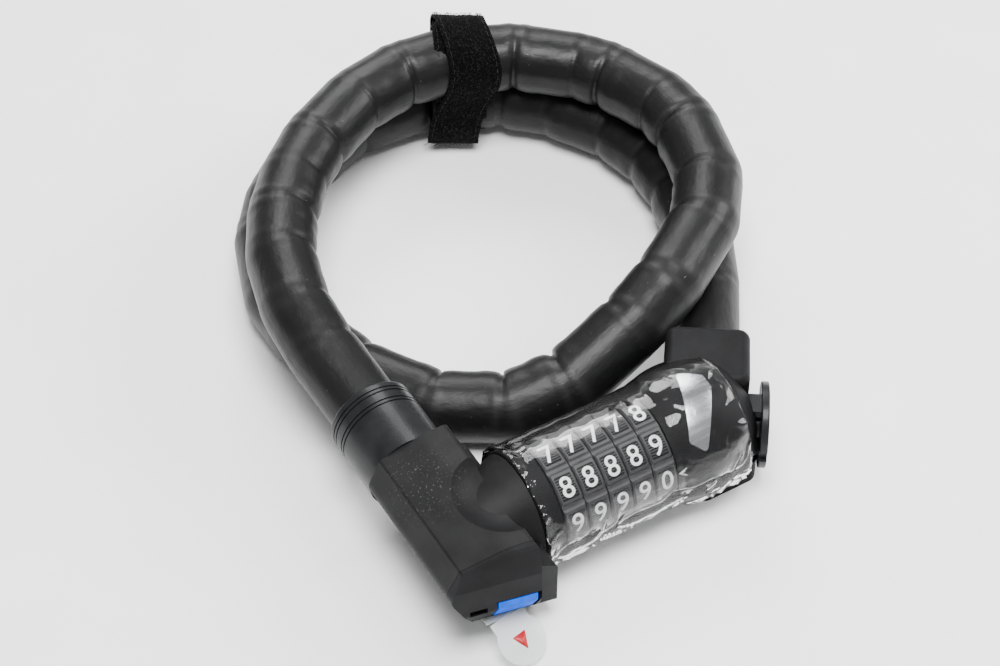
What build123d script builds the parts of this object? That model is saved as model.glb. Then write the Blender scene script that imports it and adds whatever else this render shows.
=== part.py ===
"""An armoured cable combination lock: a coiled sheathed cable that joins a fixed head, with five
number rings on its barrel, to a pull-out head that carries the locking bolt and a small lamp.

Lengths are in millimetres, +Z up. Every piece is modelled about the middle of the barrel, which
runs along X at height BARREL_Z, and is moved at the end so that the origin is the middle of the
fixed head's flat foot. The coil lies towards +Y.
"""

from build123d import *
from math import cos, pi, radians, sin, tan
import os

# Barrel and rings
BARREL_Z = 21.0
RING_COUNT = 5
RING_PITCH = 7.6
RING_WIDTH = 7.3
RING_R = 18.3
CODE_R = 14.2  # where a code disc sits in its number ring
CODE_WIDTH = 5.0
CORE_R = 11.0
BORE_R = 6.6
BOLT_R = 6.3
RUN_GAP = 0.3  # between pieces that turn or slide on each other
STACK_HALF = RING_COUNT * RING_PITCH / 2
TOOTH_TIP_R = 13.0
TOOTH_WIDTH = 2.0
BOLT_TRAVEL = 6 * RING_PITCH  # clears every code disc

# Collar that closes the barrel's open end
COLLAR_X0 = -25.6
COLLAR_X1 = -STACK_HALF - 0.2
COLLAR_R = 17.9

# Cable
CABLE_R = 11.0
SHEATH_WALL = 1.0
SLEEVE_R = 9.0
SLEEVE_BORE_R = 5.9
CORE_CABLE_R = 4.6

# Pull-out head, a box that the barrel's neck joins
HEAD_X0 = -61.5
HEAD_X1 = -32.0
HEAD_FAR_Y = 24.3
HEAD_NEAR_Y = -27.0
HEAD_TOP_Z = 40.0
HEAD_WALL = 2.4
NECK_R = 17.2
SEAM_Y = -23.5
SEAM_TURN = -8.0
NEAR_TURN = -12.0
BASE_T = 2.5
PULL_SCREWS = [(-44.5, 17.5), (-39.8, 17.5), (-41.0, -5.0)]

# Cable collar of the pull-out head
GRIP_X = -47.0
GRIP_Z = 26.0
GRIP_R = 13.5
GRIP_END_Y = 49.0
GRIP_BORE_R = CABLE_R + 0.25

# Fixed head
FIXED_X0 = STACK_HALF + 0.3
FIXED_WALL = 2.4
FOOT_X = 42.0  # the middle of its flat foot, which becomes the origin
SOCKET_FACE = Vector(54.0, 20.5, 12.4)
SOCKET_TURN = 55.7  # plan angle of the cable's way out, from +X
SOCKET_HALF = 12.8
SOCKET_LENGTH = 22.0
SOCKET_DEPTH = 12.0
BLOCK_TOP_Z = 36.5
FIXED_SCREWS = [(34.5, -9.5), (34.5, 9.5), (49.0, -7.0)]

# Bracket shoe on the fixed head's end
SHOE_AT = Vector(53.7, -9.0, 20.0)
SHOE_R = 13.0
SHOE_T = 2.4

# Strap round both turns of the cable
STRAP_WIDTH = 17.0
STRAP_R = 13.2
STRAP_T = 0.9
STRAP_ALONG = Vector(0.907, -0.421, 0)
STRAP_UPPER = Vector(52.4, 162.5, 34.9)
STRAP_LOWER = Vector(54.9, 167.9, 13.25)
STRAP_LINE = STRAP_UPPER - STRAP_LOWER
STRAP_MIDDLE = (STRAP_UPPER + STRAP_LOWER) * 0.5

# Where the cable runs, from the pull-out head's collar to the fixed head's socket
ROUTE = [
    (-47.0, 49.5, 26.0), (-47.1, 61.0, 26.4), (-50.0, 80.0, 32.0), (-48.2, 99.5, 33.9),
    (-41.0, 119.5, 34.0), (-28.0, 138.0, 33.9), (-10.0, 154.0, 33.9), (12.5, 165.2, 33.9),
    (36.0, 168.0, 34.4), (57.5, 161.0, 35.0), (77.5, 147.5, 34.1), (91.8, 129.0, 33.8),
    (98.3, 107.0, 33.7), (95.0, 83.0, 33.6), (84.5, 63.5, 33.6), (66.0, 49.3, 33.7),
    (45.5, 41.0, 29.0), (23.0, 35.5, 19.5), (0.5, 37.0, 13.0), (-18.5, 47.6, 11.3),
    (-32.0, 64.4, 11.2), (-41.6, 87.0, 11.2), (-45.3, 111.5, 11.2), (-38.5, 136.5, 11.2),
    (-22.5, 158.5, 11.2), (0.5, 173.5, 11.3), (26.0, 178.3, 12.3), (50.5, 171.0, 13.4),
    (73.5, 156.0, 12.3), (90.0, 133.5, 11.3), (95.5, 107.0, 11.2), (90.5, 79.5, 11.2),
    (78.0, 55.5, 11.2), (66.4, 38.7, 12.4), (50.62, 15.54, 12.4),
]

PLAN_OUT = Vector(cos(radians(SOCKET_TURN)), sin(radians(SOCKET_TURN)), 0)
PLAN_SIDE = Vector(PLAN_OUT.Y, -PLAN_OUT.X, 0)
PIECES = {}


def along_x(radius, x0, x1, z=BARREL_Z, y=0.0):
    """A cylinder about a line along X, from x0 to x1."""
    plane = Plane(origin=(x0, y, z), x_dir=(0, 1, 0), z_dir=(1, 0, 0))
    return extrude(plane * Circle(radius), x1 - x0)


def along_y(radius, y0, y1, x, z):
    """A cylinder about a line along Y, from y0 to y1."""
    plane = Plane(origin=(x, y0, z), x_dir=(1, 0, 0), z_dir=(0, 1, 0))
    return extrude(plane * Circle(radius), y1 - y0)


def upright(radius, x, y, z0, z1):
    """A cylinder about a vertical line."""
    return extrude(Plane(origin=(x, y, z0)) * Circle(radius), z1 - z0)


def block(x0, x1, y0, y1, z0, z1):
    """A box between two corners."""
    return Pos((x0 + x1) / 2, (y0 + y1) / 2, (z0 + z1) / 2) * Box(x1 - x0, y1 - y0, z1 - z0)


def outward(radius, start, length, direction):
    """A cylinder that starts at a point and runs along a direction."""
    plane = Plane(origin=start, z_dir=direction)
    return extrude(plane * Circle(radius), length)


def cap_screw(x, y, z0, length, head_r=2.0):
    """A small pan-head screw driven up from z0, with a hex recess."""
    screw = upright(head_r, x, y, z0, z0 + 1.4) + upright(1.1, x, y, z0 + 1.4, z0 + length)
    return screw - extrude(Plane(origin=(x, y, z0)) * RegularPolygon(0.9, 6), 0.9)


def drilled(plate, places):
    """A base plate with a counterbored hole at each place."""
    for x, y in places:
        plate -= upright(2.1, x, y, -1, 1.6) + upright(1.2, x, y, -1, BASE_T + 1)
    return plate


def group(solids):
    """Several separate solids as one piece."""
    return Compound(children=list(solids))


# ---- Rings and barrel -------------------------------------------------------------------


def ring_x(i):
    """The middle of ring i along the barrel, counted from the open end."""
    return (i - (RING_COUNT - 1) / 2) * RING_PITCH


def number_ring(i):
    """One number ring: chamfered rims and ten shallow finger grooves between its digits."""
    x = ring_x(i)
    ring = along_x(RING_R, x - RING_WIDTH / 2, x + RING_WIDTH / 2)
    ring = chamfer(ring.edges().filter_by(GeomType.CIRCLE), 0.5)
    ring -= along_x(CODE_R, x - RING_WIDTH, x + RING_WIDTH)
    for k in range(10):
        turn = radians(36 * k)
        groove_y = (RING_R + 0.9) * cos(turn)
        groove_z = BARREL_Z + (RING_R + 0.9) * sin(turn)
        ring -= along_x(1.5, x - RING_WIDTH, x + RING_WIDTH, groove_z, groove_y)
    return ring


def code_disc(i):
    """The hub inside a ring, with the notch that lets the bolt's tooth through."""
    x = ring_x(i)
    disc = along_x(CODE_R - 0.05, x - CODE_WIDTH / 2, x + CODE_WIDTH / 2)
    disc -= along_x(CORE_R + RUN_GAP, x - RING_WIDTH, x + RING_WIDTH)
    return disc - block(x - 4, x + 4, 5, TOOTH_TIP_R + 0.5, BARREL_Z - 2.5, BARREL_Z + 2.5)


def barrel_core():
    """The tube that the rings turn on, slotted for the bolt's teeth."""
    core = along_x(CORE_R, COLLAR_X0, 33) - along_x(BORE_R, COLLAR_X0 - 1, 29)
    core -= block(COLLAR_X0 - 1, 25, 0, CORE_R + 1, BARREL_Z - 2.3, BARREL_Z + 2.3)
    for x in [ring_x(i) for i in range(RING_COUNT)]:
        core -= upright(1.3, x, 0, BARREL_Z - CORE_R - 1.3, BARREL_Z - BORE_R + 1.7)
    return core - (along_x(CORE_R + 1, 27, 28) - along_x(CORE_R - 0.8, 26, 29))


def end_collar():
    """The plain band that keeps the rings on at the open end."""
    band = along_x(COLLAR_R, COLLAR_X0, COLLAR_X1)
    band = chamfer(band.edges().filter_by(GeomType.CIRCLE), 0.4)
    return band - along_x(CORE_R, COLLAR_X0 - 1, COLLAR_X1 + 1) - block(
        COLLAR_X0 - 1, COLLAR_X1 + 1, 0, TOOTH_TIP_R + 0.5, BARREL_Z - 2.5, BARREL_Z + 2.5
    )


def barrel_pieces():
    """The fixed pieces inside and beside the ring stack."""
    PIECES["barrel_core"] = barrel_core()
    PIECES["end_collar"] = end_collar()
    for i in range(RING_COUNT):
        PIECES[f"number_ring_{i + 1}"] = number_ring(i)
        PIECES[f"code_disc_{i + 1}"] = code_disc(i)
    balls = []
    springs = []
    for i in range(RING_COUNT):
        x = ring_x(i)
        balls.append(Pos(x, 0, BARREL_Z - CORE_R + 1.1) * Sphere(1.05))
        springs.append(
            upright(1.1, x, 0, BARREL_Z - BORE_R - 2.0, BARREL_Z - BORE_R - 0.2)
            - upright(0.6, x, 0, 0, BARREL_Z)
        )
    PIECES["detent_balls"] = group(balls)
    PIECES["detent_springs"] = group(springs)
    washer = along_x(CODE_R - 0.6, STACK_HALF + 0.35, STACK_HALF + 0.95)
    PIECES["thrust_washer"] = (
        washer
        - along_x(CORE_R + 0.1, STACK_HALF, STACK_HALF + 2)
        - block(STACK_HALF, STACK_HALF + 2, 0, CODE_R, BARREL_Z - 2.4, BARREL_Z + 2.4)
    )
    clip = along_x(CORE_R + 1.6, 27.05, 27.95) - along_x(CORE_R - 0.75, 26, 29)
    PIECES["core_circlip"] = clip - block(26, 29, -2, 2, BARREL_Z, BARREL_Z + 20)


# ---- Fixed head -------------------------------------------------------------------------


def bulge(grow):
    """The fixed head's round body: the barrel's line swelling and closing, grown all over."""
    start = (FIXED_X0, 17.8 + grow)
    shoulder = (46, 17.4 + grow)
    nose = (54 + grow, 0)
    profile = make_face(
        Plane.XZ.offset(0)
        * (
            Line((FIXED_X0, 0), start)
            + ThreePointArc(start, (33, 20.2 + grow), shoulder)
            + ThreePointArc(shoulder, (51.8 + 0.8 * grow, 10.2 + 0.6 * grow), nose)
            + Line(nose, (FIXED_X0, 0))
        )
    )
    return Pos(0, 0, BARREL_Z) * revolve(profile, Axis.X)


def socket_block(grow):
    """The upright block that the cable enters, set across the barrel and grown all over."""
    half = SOCKET_HALF + grow
    back = -SOCKET_LENGTH - grow
    plane = Plane(
        origin=(SOCKET_FACE.X, SOCKET_FACE.Y, 0), x_dir=PLAN_OUT, z_dir=(0, 0, 1)
    )
    outline = plane * Pos((back + grow) / 2, 0) * RectangleRounded(grow - back, 2 * half, 3.5)
    body = extrude(outline, BLOCK_TOP_Z + grow)
    return fillet(body.edges().group_by(Axis.Z)[-1], 3.0)


def foot(inset):
    """The low plinth under the fixed head, down to its flat underside."""
    outline = Pos(FOOT_X, 0, 0) * RectangleRounded(22 - 2 * inset, 26 - 2 * inset, 4 - inset)
    return extrude(outline, 8)


def fixed_head():
    """The fixed head's housing: hollow, with a round mouth for the cable."""
    outer = bulge(0) + socket_block(0) + foot(0)
    cavity = bulge(-FIXED_WALL) + socket_block(-FIXED_WALL) - block(0, 80, -40, 60, -1, BASE_T)
    cavity -= block(FIXED_X0 - 1, FIXED_X0 + 6, -30, 30, 0, 50)
    shell = outer - cavity - block(0, 80, -40, 60, -1, BASE_T)
    shell -= along_x(CORE_R, FIXED_X0 - 1, 30) + along_x(CODE_R - 0.4, 0, STACK_HALF + 1.1)
    shell -= outward(CABLE_R + 0.1, SOCKET_FACE - PLAN_OUT * 6, 12, PLAN_OUT)
    return shell


def fixed_base():
    """The plate that closes the fixed head from below, with holes for its screws."""
    plate = extrude(Pos(FOOT_X, 0, 0) * RectangleRounded(22, 26, 4), BASE_T)
    plate += extrude(
        Plane(origin=(SOCKET_FACE.X, SOCKET_FACE.Y, 0), x_dir=PLAN_OUT, z_dir=(0, 0, 1))
        * Pos(-SOCKET_LENGTH / 2, 0)
        * RectangleRounded(SOCKET_LENGTH, 2 * SOCKET_HALF, 3.5),
        BASE_T,
    )
    plate -= outward(CABLE_R + 0.1, SOCKET_FACE - PLAN_OUT * 6, 12, PLAN_OUT)
    return drilled(plate, FIXED_SCREWS)


def fixed_head_pieces():
    """The fixed head, what it holds, and the bracket shoe on its end."""
    head = fixed_head()
    for x, y in FIXED_SCREWS:
        head -= upright(1.15, x, y, 0, 5)
    PIECES["fixed_head"] = head
    PIECES["fixed_base"] = fixed_base()
    PIECES["fixed_screws"] = group([cap_screw(x, y, 0.15, 4.5) for x, y in FIXED_SCREWS])
    anchor_start = SOCKET_FACE - PLAN_OUT * (SOCKET_DEPTH + 4)
    ferrule = outward(8.2, anchor_start, SOCKET_DEPTH + 4 - 6.3, PLAN_OUT)
    PIECES["socket_ferrule"] = ferrule - outward(CORE_CABLE_R + 0.1, anchor_start, 30, PLAN_OUT)
    PIECES["head_badge"] = head_badge()
    shoe_base = SHOE_AT - PLAN_SIDE * 9
    PIECES["bracket_shoe"] = bracket_shoe() - outward(1.4, shoe_base, 8.5, PLAN_SIDE)
    PIECES["fixed_head"] -= outward(1.5, shoe_base - PLAN_SIDE * 6, 20, PLAN_SIDE)
    PIECES["shoe_screw"] = shoe_screw()


def head_badge():
    """The thin blank plate that lies on the bulge, a slanted blade with one rounded shoulder."""
    outline = [(-8.6, -10.4), (-4.3, -14.7), (5.7, 1.5), (5.8, 6.3), (-0.6, 11.2)]
    facing = Plane(origin=(33, 0, BARREL_Z), x_dir=(1, 0, 0), z_dir=(0, -0.25, 0.97))
    prism = extrude(facing * fillet(Polygon(*outline, align=None).vertices(), 1.2), 30)
    return (bulge(0.35) - bulge(0)) & prism


def bracket_shoe():
    """The slotted disc on a post that clicks into a frame bracket, with its two ribs."""
    face = Plane(origin=SHOE_AT, x_dir=PLAN_OUT, z_dir=PLAN_SIDE)
    disc = extrude(face * Circle(SHOE_R), SHOE_T)
    disc = fillet(disc.edges().filter_by(GeomType.CIRCLE), 0.5)
    for side in (-1, 1):
        disc -= extrude(face * Pos(side * SHOE_R, 0) * Rectangle(3.0, 4.0), SHOE_T)
    post = extrude(face * Circle(4.2), -9)
    rib = extrude(face * Pos(0, 8.5) * Rectangle(7.0, 2.6), -9)
    cone = extrude(face * Pos(-1.0, -8.0) * Circle(3.4), -9, taper=-9)
    return disc + (post + rib + cone - bulge(0) - socket_block(0) - foot(0))


def shoe_screw():
    """The screw that holds the shoe from inside the head."""
    head_start = SHOE_AT - PLAN_SIDE * (9 + FIXED_WALL + 1.4)
    return outward(2.4, head_start, 1.4, PLAN_SIDE) + outward(1.3, head_start, 10.5, PLAN_SIDE)


# ---- Pull-out head ----------------------------------------------------------------------


def rounded_outline(corners):
    """A closed outline from (across, up, radius) corners."""
    face = make_face(Polyline(*[(a, b) for a, b, _ in corners], close=True))
    for a, b, radius in corners:
        if radius:
            face = fillet(face.vertices().sort_by_distance((a, b, 0))[0], radius)
    return face


def head_section():
    """The pull-out head's outline across its length: undercut belly, ridge and crowned top."""
    return rounded_outline([
        (-27.3, 0, 7), (-48.0, 0, 3), (HEAD_X0, 27, 5), (-57.0, 36.5, 1.2),
        (-43.0, HEAD_TOP_Z, 18), (-34.5, HEAD_TOP_Z, 2), (-33.5, 27, 1), (-27.3, 24, 1.5),
    ])


def near_profile():
    """The pull-out head's outline from the side, seen at its near end."""
    return rounded_outline([
        (60, -5, 0), (-12, -5, 0), (-23.5, 11, 4), (-27.4, 19, 4), (-26.8, 30, 1.5),
        (-24.3, 38.5, 1.5), (-22, 50, 0), (60, 50, 0),
    ])


def head_form(inset):
    """The pull-out head's box, drawn in all over by an inset."""
    section = head_section()
    profile = near_profile()
    if inset:
        section = offset(section, -inset, kind=Kind.INTERSECTION)
        profile = offset(profile, -inset, kind=Kind.INTERSECTION)
    long_box = extrude(Plane.XZ.offset(-HEAD_FAR_Y + inset) * section, 70)
    side = Plane(origin=(-110, 0, 0), x_dir=(0, 1, 0), z_dir=(1, 0, 0)) * profile
    turned = Rot(0, 0, NEAR_TURN) * Pos(45, 0, 0) * extrude(side, 120)
    return long_box & (Pos(-45, 0, 0) * turned)


def seam_side(reach):
    """Everything on the near side of the lamp module's seam."""
    slab = block(-60, 60, -60, 0, -10, 70)
    return Pos(-45, SEAM_Y + reach, 0) * Rot(0, 0, SEAM_TURN) * slab


def pull_head():
    """The pull-out head's housing, hollow, with its neck and the dish beside it."""
    neck_x = COLLAR_X0 - RUN_GAP
    neck = Pos(neck_x - 10, 0, BARREL_Z) * Rot(0, 90, 0) * Cone(NECK_R - 6.4, NECK_R, 20)
    dish = Pos(-33, -5, 52)
    outer = head_form(0) - dish * Sphere(19.5) + neck
    cavity = head_form(HEAD_WALL) - dish * Sphere(19.5 + HEAD_WALL)
    cavity -= block(-70, 0, -60, 60, -5, BASE_T) + block(-35.5, 0, -60, -20.5, -5, 60)
    cavity += along_x(BOLT_R + 0.1, -50, 0) + pull_base(0.1)
    cavity += block(-56.2, -37.8, -30, -10, 7.8, 32.2) & head_form(1.1)
    cavity += block(-48.0, -35.8, -30, -22.3, 11.9, 22.1)
    cavity += block(-51.4, -36.6, -60, -18.5, 10.2, 11.7)
    shell = outer - cavity - seam_side(0.12)
    return shell - along_y(8.4, 10, 40, GRIP_X, GRIP_Z)


def pull_base(grow=0.0):
    """The plate that closes the pull-out head from below."""
    outline = Pos(-40.3, 6) * RectangleRounded(12.4 + 2 * grow, 30 + 2 * grow, 3)
    return extrude(outline, BASE_T)


def grip_collar():
    """The round collar that grips the cable, with two pairs of fine grooves near its mouth."""
    collar = along_y(GRIP_R, HEAD_FAR_Y, GRIP_END_Y, GRIP_X, GRIP_Z)
    collar = fillet(collar.edges().group_by(Axis.Y)[-1], 0.8)
    collar -= along_y(GRIP_BORE_R, 30, GRIP_END_Y + 1, GRIP_X, GRIP_Z)
    collar -= along_y(8.4, HEAD_FAR_Y - 1, 31, GRIP_X, GRIP_Z)
    for back in (2.4, 3.8, 7.0, 8.4):
        y = GRIP_END_Y - back
        collar -= along_y(GRIP_R + 1, y - 0.25, y + 0.25, GRIP_X, GRIP_Z) - along_y(
            GRIP_R - 0.5, y - 1, y + 1, GRIP_X, GRIP_Z
        )
    return collar


def bolt():
    """The locking bolt: a rod with one tooth beyond each code disc."""
    rod = along_x(BOLT_R, -49.9, 27.5)
    rod = chamfer(rod.edges().group_by(Axis.X)[-1], 1.5)
    for i in range(RING_COUNT):
        x = ring_x(i) + RING_PITCH / 2
        rod += block(x - TOOTH_WIDTH / 2, x + TOOTH_WIDTH / 2, 2, TOOTH_TIP_R,
                     BARREL_Z - 1.9, BARREL_Z + 1.9)
    return rod - upright(1.5, -46, 0, 0, 40)


def lamp_face():
    """The lamp module's near end, everything beyond its seam but the head's right edge."""
    side = Pos(-33.2, -25.5, 0) * Rot(0, 0, -22) * block(-60, 0, -40, 40, -10, 70)
    return head_form(0) & seam_side(0) & side


def lamp_button():
    """The lens-like push button set in the module's near end."""
    return lamp_face() & block(-47.6, -36.2, -40, -23.4, 12.2, 21.8)


def pull_tab():
    """The battery tab: a flat strip that bends down outside the module to a round end."""
    inner = block(-50.5, -39.6, -25.4, -12.2, 10.8, 11.1)
    slope = Plane(origin=(-44.0, -25.4, 11.1), x_dir=(0.979, 0.203, 0), z_dir=(0.115, -0.554, 0.824))
    shape = Pos(0, -1.4) * Rectangle(12.0, 3.4) + Pos(0, -3) * Rectangle(10, 4) + Pos(0, -8) * Circle(7.6)
    return inner + extrude(slope * shape, -0.3)


def pull_head_pieces():
    """The pull-out head, its bolt, its cable end and its lamp."""
    PIECES["pull_head"] = pull_head()
    PIECES["pull_base"] = drilled(pull_base(), PULL_SCREWS)
    PIECES["pull_screws"] = group([cap_screw(x, y, 0.15, 12.0) for x, y in PULL_SCREWS])
    PIECES["grip_collar"] = grip_collar()
    PIECES["locking_bolt"] = bolt()
    PIECES["bolt_pin"] = upright(1.45, -46, 0, 12.0, 32.0)
    anchor = (block(-54.5, -38, -7.5, 21.3, 9, 30) & head_form(HEAD_WALL + 0.1)) - along_x(BOLT_R + 0.05, -60, 0)
    anchor -= upright(1.5, -46, 0, 0, 40) + along_y(8.25, 8.9, 30, GRIP_X, GRIP_Z)
    for x, y in PULL_SCREWS:
        anchor -= upright(1.15, x, y, 0, 12.5)
    PIECES["anchor_block"] = anchor
    ferrule = along_y(8.2, 9, 29.9, GRIP_X, GRIP_Z)
    PIECES["grip_ferrule"] = ferrule - along_y(CORE_CABLE_R + 0.1, 8, 31, GRIP_X, GRIP_Z)
    tail = along_y(CABLE_R, 30.1, GRIP_END_Y - 0.1, GRIP_X, GRIP_Z)
    PIECES["cable_tail"] = tail + along_y(CORE_CABLE_R, 10, 31, GRIP_X, GRIP_Z)
    lamp_pieces()


def lamp_pieces():
    """The lamp module in the pull-out head's near end, opened from its own side."""
    tray = block(-56, -38, -24, -10.2, 8.0, 32) & head_form(1.3)
    tray -= block(-54.8, -39.2, -23, -8, 9.2, 30.8) & head_form(2.6)
    housing = lamp_face() + tray
    housing -= block(-48.2, -35.0, -60, -22.2, 11.7, 22.3)
    housing -= block(-51.2, -36.8, -60, -18.5, 10.4, 11.5) + block(-51.2, -36.8, -60, -22.6, -1, 11)
    housing -= block(-56.0, -50.8, -60, -22.6, 18.6, 21.0) + along_y(1.0, -23, -10, -53.3, 19.8)
    PIECES["lamp_housing"] = housing
    PIECES["lamp_button"] = lamp_button()
    PIECES["pull_tab"] = pull_tab()
    PIECES["lamp_board"] = block(-54, -40, -12, -11, 10, 30) & head_form(2.8)
    cells = [along_y(5.6, -20.5 + 2.6 * k, -18.1 + 2.6 * k, -46, 22.5) for k in range(3)]
    PIECES["coin_cells"] = group(cells)
    PIECES["lamp_led"] = along_y(0.9, -22.5, -16.0, -53.3, 19.8)


# ---- Cable, strap and film --------------------------------------------------------------


def route_radii():
    """The bend radius at each inner point of the route, as large as its two runs allow."""
    points = [Vector(*p) for p in ROUTE]
    radii = []
    for before, here, after in zip(points, points[1:], points[2:]):
        arrive = here - before
        leave = after - here
        half_turn = radians(arrive.get_angle(leave)) / 2
        radii.append(0.45 * min(arrive.length, leave.length) / tan(half_turn))
    return radii


def cable_path():
    """The cable's middle line: straight runs joined by arcs."""
    radii = route_radii()
    print("bend radii, mm:", " ".join(str(round(r)) for r in radii))
    return FilletPolyline(*ROUTE, radius=radii)


def along_cable(path, radius, bore):
    """A tube along the cable's middle line."""
    start = Plane(origin=path @ 0, z_dir=path % 0)
    section = Circle(radius) - Circle(bore) if bore else Circle(radius)
    return sweep(start * section, path=path, transition=Transition.RIGHT)


def armour_sleeves():
    """The hardened steel sleeves under the sheath, one on each run of the route."""
    sleeves = []
    for here, there in zip(ROUTE, ROUTE[1:]):
        run = Vector(*there) - Vector(*here)
        length = min(0.78 * run.length, 19.0)
        start = Vector(*here) + run * 0.5 - run.normalized() * (length / 2)
        sleeves.append(
            outward(SLEEVE_R, start, length, run) - outward(SLEEVE_BORE_R, start, length, run)
        )
    return group(sleeves)


def strap():
    """The hook-and-loop strap, a flat band closed round both turns of the cable."""
    across = Plane(origin=STRAP_MIDDLE, x_dir=STRAP_LINE, z_dir=STRAP_ALONG)
    span = STRAP_LINE.length
    band = SlotCenterToCenter(span, 2 * STRAP_R) - SlotCenterToCenter(span, 2 * (STRAP_R - STRAP_T))
    return extrude(across * band, STRAP_WIDTH / 2, both=True)


def film():
    """The clear film shrunk over the barrel and the fixed head."""
    def skin(grow):
        return along_x(RING_R + 0.2 + grow, COLLAR_X0 - 0.2, FIXED_X0 + 3) + bulge(grow)

    wrap = skin(0.75) - skin(0.45) - block(-60, COLLAR_X0 - 0.1, -40, 40, -1, 50)
    wrap -= block(44, 80, -40, 60, -1, 60)
    return wrap - socket_block(0.4) - foot(-0.4) - block(-40, 80, -40, 60, -1, 1.2)


def cable_pieces():
    """The cable, the strap that bundles it and the film over the barrel."""
    path = cable_path()
    sheath = along_cable(path, CABLE_R, CABLE_R - SHEATH_WALL)
    section = pi * (CABLE_R**2 - (CABLE_R - SHEATH_WALL) ** 2)
    print("cable length, mm:", round(path.length, 1),
          "volume ratio:", round(sheath.volume / (section * path.length), 4))
    PIECES["cable_sheath"] = sheath
    PIECES["cable_core"] = along_cable(path, CORE_CABLE_R, 0)
    PIECES["armour_sleeves"] = armour_sleeves()
    PIECES["cable_strap"] = strap()
    PIECES["shrink_film"] = film()


def main():
    """Build every piece and write it in the part's own frame."""
    barrel_pieces()
    fixed_head_pieces()
    pull_head_pieces()
    cable_pieces()
    os.makedirs("parts", exist_ok=True)
    for name, piece in PIECES.items():
        solids = [Pos(-FOOT_X, 0, 0) * solid for solid in piece.solids()]
        export_step(group(solids) if len(solids) > 1 else solids[0], f"parts/{name}.step")


if __name__ == "__main__":
    main()
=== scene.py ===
"""Looks of an armoured-cable combination lock with number rings, a lamp and a strap."""

from __future__ import annotations

import logging
import math
import random
from collections.abc import Callable, Iterable, Sequence
from dataclasses import dataclass, field
from enum import Enum

import bmesh
import bpy
from mathutils import Matrix, Vector, noise

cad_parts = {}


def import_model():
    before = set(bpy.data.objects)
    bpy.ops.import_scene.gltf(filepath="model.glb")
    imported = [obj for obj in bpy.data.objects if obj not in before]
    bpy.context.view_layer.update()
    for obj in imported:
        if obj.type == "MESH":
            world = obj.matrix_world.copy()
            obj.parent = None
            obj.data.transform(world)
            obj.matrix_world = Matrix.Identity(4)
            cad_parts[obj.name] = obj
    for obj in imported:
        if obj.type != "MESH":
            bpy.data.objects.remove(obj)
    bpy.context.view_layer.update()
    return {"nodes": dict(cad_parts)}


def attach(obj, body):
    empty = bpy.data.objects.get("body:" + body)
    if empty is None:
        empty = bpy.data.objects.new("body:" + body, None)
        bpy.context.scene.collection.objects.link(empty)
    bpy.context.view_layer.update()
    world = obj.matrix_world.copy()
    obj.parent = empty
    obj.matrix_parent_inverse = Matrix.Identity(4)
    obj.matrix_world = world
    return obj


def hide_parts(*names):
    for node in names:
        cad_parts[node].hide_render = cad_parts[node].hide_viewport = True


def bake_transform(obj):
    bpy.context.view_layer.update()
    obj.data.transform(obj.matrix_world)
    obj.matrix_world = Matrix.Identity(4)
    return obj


LOG = logging.getLogger("cable_lock")

MM = 0.001
FOOT_X = 42.0  # the fixed head's foot, from the barrel's middle, in mm
BARREL_Z = 21.0  # height of the barrel's axis, in mm

Place = tuple[float, float, float]


class Body(str, Enum):
    """The bodies that new pieces ride on."""

    LOCK = "lock_body"
    PULL_HEAD = "pull_head_body"
    TAB = "pull_tab_body"


class Slot(str, Enum):
    """The record's material slots, one passed with each new piece."""

    RING = "ring_plastic"
    SHEATH = "sheath_vinyl"
    FILM = "clear_film"
    TAB = "tab_film"
    STRAP = "strap_loop"


def at(x: float, y: float, z: float) -> Vector:
    """A point given in mm from the barrel's middle, in the part's frame in metres."""
    return Vector(((x - FOOT_X) * MM, y * MM, z * MM))


def around_barrel(x: float, turn: float, radius: float) -> Vector:
    """A point round the barrel.

    Args:
        x: Place along the barrel, in mm from its middle.
        turn: Angle up from the near horizontal, in radians.
        radius: Distance from the barrel's axis, in mm.

    Returns:
        The point in the part's frame, in metres.
    """
    return at(x, -radius * math.cos(turn), BARREL_Z + radius * math.sin(turn))


def linear(code: str) -> tuple[float, float, float, float]:
    """Turns an sRGB hex code such as "#1a2b3c" to linear RGBA."""
    parts = [int(code[i : i + 2], 16) / 255 for i in (1, 3, 5)]
    lit = [c / 12.92 if c <= 0.04045 else ((c + 0.055) / 1.055) ** 2.4 for c in parts]
    return lit[0], lit[1], lit[2], 1.0


def smooth(low: float, high: float, value: float) -> float:
    """A smooth step from 0 at low to 1 at high."""
    t = min(1.0, max(0.0, (value - low) / (high - low)))
    return t * t * (3 - 2 * t)


# ---- Materials --------------------------------------------------------------------------


def add_node(
    tree: bpy.types.NodeTree,
    kind: str,
    settings: dict[str, object] | None = None,
    **inputs: object,
) -> bpy.types.Node:
    """Adds a shader node with its settings and its inputs.

    Args:
        tree: The material's node tree.
        kind: The node's class, such as ShaderNodeBump.
        settings: Attributes of the node itself.
        inputs: A value or an output socket by input name, with _ for a space. A name such
            as i0 means the input of that number.

    Returns:
        The new node.
    """
    made = tree.nodes.new(kind)
    for name, value in (settings or {}).items():
        setattr(made, name, value)
    for name, value in inputs.items():
        key = int(name[1:]) if name[0] == "i" and name[1:].isdigit() else name.replace("_", " ")
        socket = made.inputs[key]
        if isinstance(value, bpy.types.NodeSocket):
            tree.links.new(value, socket)
        else:
            socket.default_value = value
    return made


class Space(Enum):
    """What a pattern is drawn on."""

    SOLID = "Object"
    SKIN = "UV"


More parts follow.
